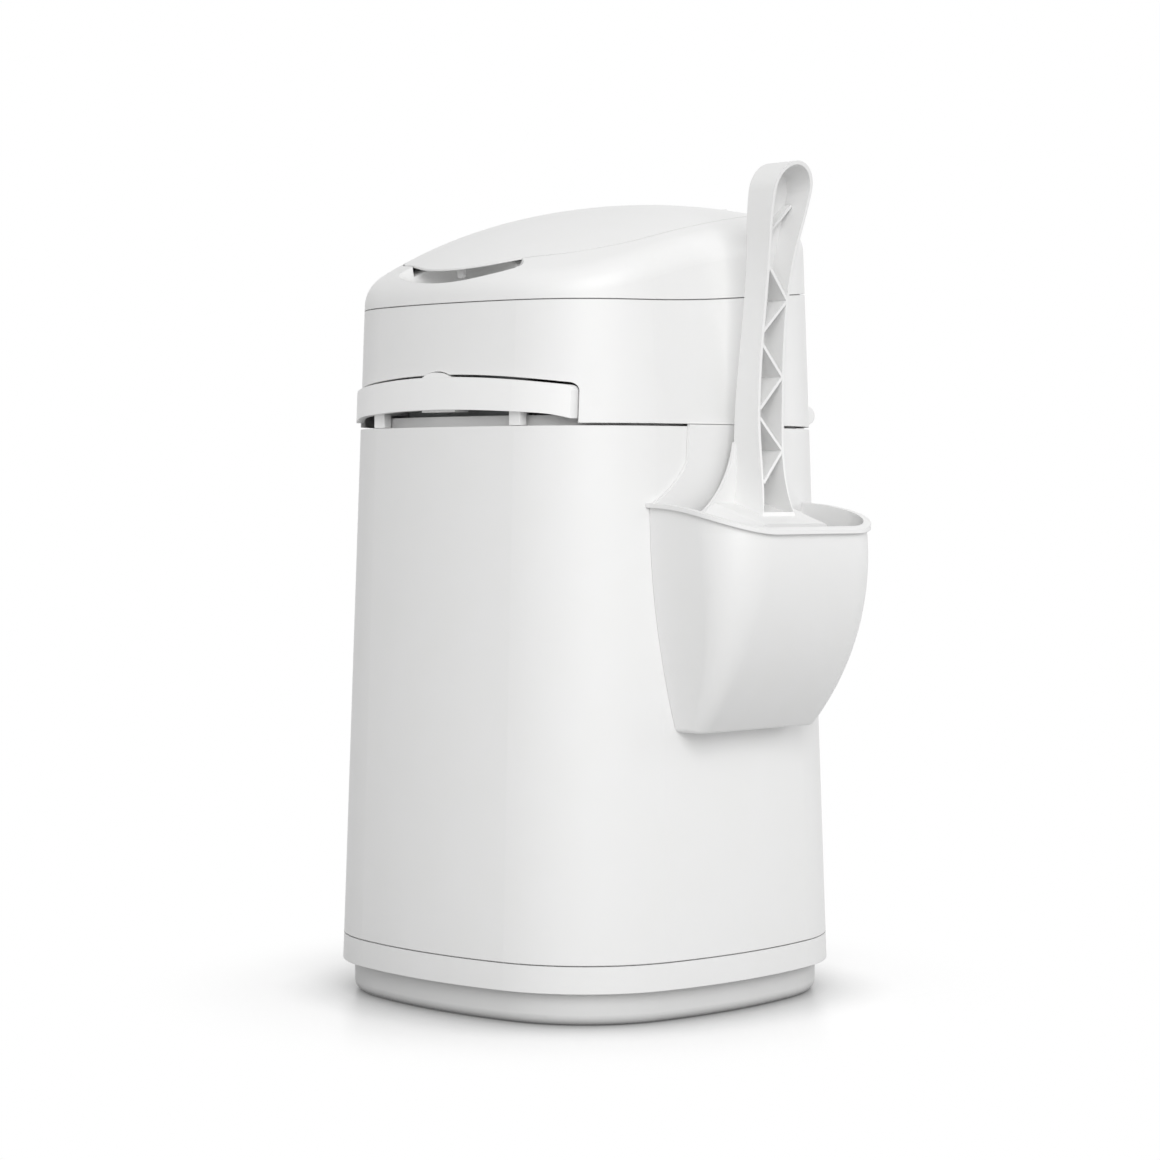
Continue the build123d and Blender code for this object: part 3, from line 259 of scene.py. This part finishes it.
def makePullSprings():
    low, high = (Vector(corner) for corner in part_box("return_springs"))
    form = bmesh.new()
    for side in (1, -1):
        foot = Vector((side * (high.x - pullSpring["radius"]), low.y, (low.z + high.z) / 2))
        addCoil(form, foot, Vector((0, high.y - low.y, 0)), pullSpring)
    bmesh.ops.recalc_face_normals(form, faces=form.faces)
    piece = placePiece("pullSpringCoils", form, springSteel, "spring_steel", "return_springs")
    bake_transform(piece)


def makeButtonSpring():
    low, high = (Vector(corner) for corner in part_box("button_spring"))
    form = bmesh.new()
    foot = Vector(((low.x + high.x) / 2, (low.y + high.y) / 2, low.z))
    addCoil(form, foot, Vector((0, 0, high.z - low.z)), buttonCoil)
    bmesh.ops.recalc_face_normals(form, faces=form.faces)
    piece = placePiece("buttonSpringCoil", form, springSteel, "spring_steel", "button_spring")
    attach(piece, "slider")
    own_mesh(piece)


makePullSprings()
makeButtonSpring()
print("springs wound")

gatheredFilm = {
    "inner": 0.0525,      # m, just clear of the cassette's ring
    "outer": 0.0697,
    "pleats": 15,         # folds of the film tube packed one above another
    "pleatDepth": 0.0011, # m
    "packed": 0.94,       # share of the height that the folds fill
    "steps": 144,
    "crumple": 0.0006,    # m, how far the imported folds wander
    "crumpleSize": 0.011, # m
}


def makeGatheredFilm():
    # thin film tube gathered on itself: a ring whose sides are stacked folds and whose top is crumpled
    low, high = (Vector(corner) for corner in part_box("film_pack"))
    look = gatheredFilm
    form = bmesh.new()
    pitch = (high.z - low.z) / (2 * look["pleats"]) * look["packed"]
    inset = look["pleatDepth"]
    margin = look["crumple"]
    outline = []
    for fold in range(2 * look["pleats"] + 1):
        outline.append((look["outer"] - margin - inset * (fold % 2), low.z + margin + fold * pitch))
    top = outline[-1][1]
    for share in (0.25, 0.5, 0.75):
        outline.append((look["outer"] + (look["inner"] - look["outer"]) * share, top + margin * 0.5))
    for fold in range(2 * look["pleats"], -1, -1):
        outline.append((look["inner"] + margin + inset * (fold % 2), low.z + margin + fold * pitch))
    points = [form.verts.new((reach, 0, height)) for reach, height in outline]
    edges = [form.edges.new((points[place - 1], points[place])) for place in range(len(points))]
    bmesh.ops.spin(form, geom=points + edges, cent=(0, 0, 0), axis=(0, 0, 1), dvec=(0, 0, 0),
                   steps=look["steps"], angle=2 * math.pi, use_merge=True, use_duplicate=False)
    bmesh.ops.remove_doubles(form, verts=form.verts, dist=1e-6)
    for vert in form.verts:
        drift = noise.noise_vector(vert.co / look["crumpleSize"])
        vert.co += Vector((drift.x, drift.y, drift.z * 0.5)) * look["crumple"]
    bmesh.ops.recalc_face_normals(form, faces=form.faces)
    piece = placePiece("gatheredFilmRing", form, filmPe, "film", "film_pack")
    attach(piece, "head")


makeGatheredFilm()
print("film ring gathered")

studio = {
    "floorReach": 14.0,       # m
    "floorColour": "#FAFAFA",
    "bouncePaper": "#C4C4C4", # what the pail gets back from the paper
    "footPaper": "#2E2E2E",   # the same, where the foot shades the paper
    "floorLift": 0.10,        # white added where the paper is seen, not to its light
    "paperRoughness": 0.30,
    "paperGloss": 0.35,
    "shadedPaper": "#6C6C6C", # paper close to the foot, where little light gets in
    "contactReach": 0.044,    # m, how far from the foot the paper darkens
    "bounceReach": 0.14,      # m, how far from the foot it gives back less light
    "fadeStart": 0.105,       # m from the pail's middle, where the shadowed paper begins to run out
    "fadeEnd": 0.26,          # m, past here the sweep is plain white
    "worldLight": 0.55,
    "keyPower": 96.0,         # W
    "keySize": 2.8,           # m
    "keyPlace": (2.9, -2.2, 2.1),
    "rimPower": 17.0,         # W, from behind on the scoop's side, lights that edge of the pail
    "rimSize": 1.4,           # m
    "rimPlace": (1.5, 2.6, 1.2),
    "target": (0.0, 0.0, 0.24),
}


def addSeenRays(tree):
    # 1 for the rays that show a surface, 0 for those that carry its light to other surfaces
    rays = addNode(tree, "ShaderNodeLightPath")
    glossyToo = addNode(tree, "ShaderNodeMath", settings={"operation": "MAXIMUM"},
                        links={0: rays.outputs["Is Camera Ray"], 1: rays.outputs["Is Glossy Ray"]})
    allSeen = addNode(tree, "ShaderNodeMath", settings={"operation": "MAXIMUM"},
                      links={0: glossyToo.outputs[0], 1: rays.outputs["Is Transmission Ray"]})
    return rays, allSeen.outputs[0]


def makeFloor():
    form = bmesh.new()
    bmesh.ops.create_grid(form, x_segments=1, y_segments=1, size=studio["floorReach"])
    mesh = bpy.data.meshes.new("studioFloor")
    form.to_mesh(mesh)
    form.free()
    floor = bpy.data.objects.new("studioFloor", mesh)
    bpy.context.scene.collection.objects.link(floor)
    material, tree = newMaterial("mattPaperFloor")  # matt white paper sweep that keeps the pail's shadow
    openness = addNode(tree, "ShaderNodeAmbientOcclusion", settings={"samples": 8},
                       values={"Distance": studio["contactReach"]})
    paper = addNode(tree, "ShaderNodeMix", settings={"data_type": "RGBA"},
                    values={"A": hexToLinear(studio["shadedPaper"]), "B": hexToLinear(studio["floorColour"])},
                    links={"Factor": openness.outputs["AO"]})
    shelter = addNode(tree, "ShaderNodeAmbientOcclusion", settings={"samples": 8},
                      values={"Distance": studio["bounceReach"]})
    bounce = addNode(tree, "ShaderNodeMix", settings={"data_type": "RGBA"},
                     values={"A": hexToLinear(studio["footPaper"]), "B": hexToLinear(studio["bouncePaper"])},
                     links={"Factor": shelter.outputs["AO"]})
    rays, allSeen = addSeenRays(tree)
    toned = addNode(tree, "ShaderNodeMix", settings={"data_type": "RGBA"},
                    links={"Factor": rays.outputs["Is Camera Ray"], "A": bounce.outputs["Result"],
                           "B": paper.outputs["Result"]})
    shader = addNode(tree, "ShaderNodeBsdfPrincipled",
                     values={"Roughness": studio["paperRoughness"], "Specular IOR Level": studio["paperGloss"]},
                     links={"Base Color": toned.outputs["Result"]})
    place = addNode(tree, "ShaderNodeTexCoord").outputs["Object"]
    reach = addNode(tree, "ShaderNodeVectorMath", settings={"operation": "LENGTH"}, links={0: place})
    fade = addNode(tree, "ShaderNodeMapRange", settings={"interpolation_type": "SMOOTHERSTEP"},
                   values={"From Min": studio["fadeStart"], "From Max": studio["fadeEnd"]},
                   links={"Value": reach.outputs["Value"]})
    white = addNode(tree, "ShaderNodeEmission", values={"Color": (1, 1, 1, 1), "Strength": 1.0})
    lift = addNode(tree, "ShaderNodeEmission", values={"Color": (1, 1, 1, 1), "Strength": studio["floorLift"]})
    dark = addNode(tree, "ShaderNodeEmission", values={"Color": (0, 0, 0, 1), "Strength": 0.0})
    extra = addNode(tree, "ShaderNodeMixShader", links={0: allSeen, 1: dark.outputs[0], 2: lift.outputs[0]})
    both = addNode(tree, "ShaderNodeAddShader", links={0: shader.outputs[0], 1: extra.outputs[0]})
    farOff = addNode(tree, "ShaderNodeMath", settings={"operation": "MULTIPLY"},
                     links={0: fade.outputs["Result"], 1: allSeen})
    sweep = addNode(tree, "ShaderNodeMixShader",
                    links={0: farOff.outputs[0], 1: both.outputs[0], 2: white.outputs[0]})
    finishMaterial(tree, sweep)
    mesh.materials.append(material)


def makeWorld():
    world = bpy.data.worlds.new("whiteStudio")
    world.use_nodes = True
    tree = world.node_tree
    tree.nodes.clear()
    light = addNode(tree, "ShaderNodeBackground",
                    values={"Color": (1, 1, 1, 1), "Strength": studio["worldLight"]})
    seen = addNode(tree, "ShaderNodeBackground", values={"Color": (1, 1, 1, 1), "Strength": 1.0})
    allSeen = addSeenRays(tree)[1]
    mix = addNode(tree, "ShaderNodeMixShader", links={0: allSeen, 1: light.outputs[0], 2: seen.outputs[0]})
    addNode(tree, "ShaderNodeOutputWorld", links={"Surface": mix.outputs[0]})
    bpy.context.scene.world = world


def addSoftbox(name, place, size, power):
    lamp = bpy.data.lights.new(name, "AREA")
    lamp.shape = "SQUARE"
    lamp.size = size
    lamp.energy = power
    box = bpy.data.objects.new(name, lamp)
    box.location = place
    aim = Vector(studio["target"]) - Vector(place)
    box.rotation_euler = aim.to_track_quat("-Z", "Y").to_euler()
    bpy.context.scene.collection.objects.link(box)


makeFloor()
makeWorld()
addSoftbox("keySoftbox", studio["keyPlace"], studio["keySize"], studio["keyPower"])
addSoftbox("rimSoftbox", studio["rimPlace"], studio["rimSize"], studio["rimPower"])

view = {
    "place": (1.1576, -1.1587, 0.27265),  # m, at the pail's front corner, on the scoop's side
    "tilt": 88.239,                       # degrees up from straight down
    "turn": 45.066,                       # degrees round from the front
    "focalLength": 93.27,                 # mm
    "sensorWidth": 36.0,                  # mm
    "farthest": 50.0,                     # m
}

lens = bpy.data.cameras.new("pictureCamera")
lens.sensor_fit = "AUTO"
lens.sensor_width = view["sensorWidth"]
lens.lens = view["focalLength"]
lens.clip_end = view["farthest"]
camera = bpy.data.objects.new("pictureCamera", lens)
camera.location = view["place"]
camera.rotation_euler = Euler((math.radians(view["tilt"]), 0.0, math.radians(view["turn"])), "XYZ")
bpy.context.scene.collection.objects.link(camera)
bpy.context.scene.camera = camera
bpy.context.scene.view_settings.view_transform = "Standard"
print("studio and camera set")
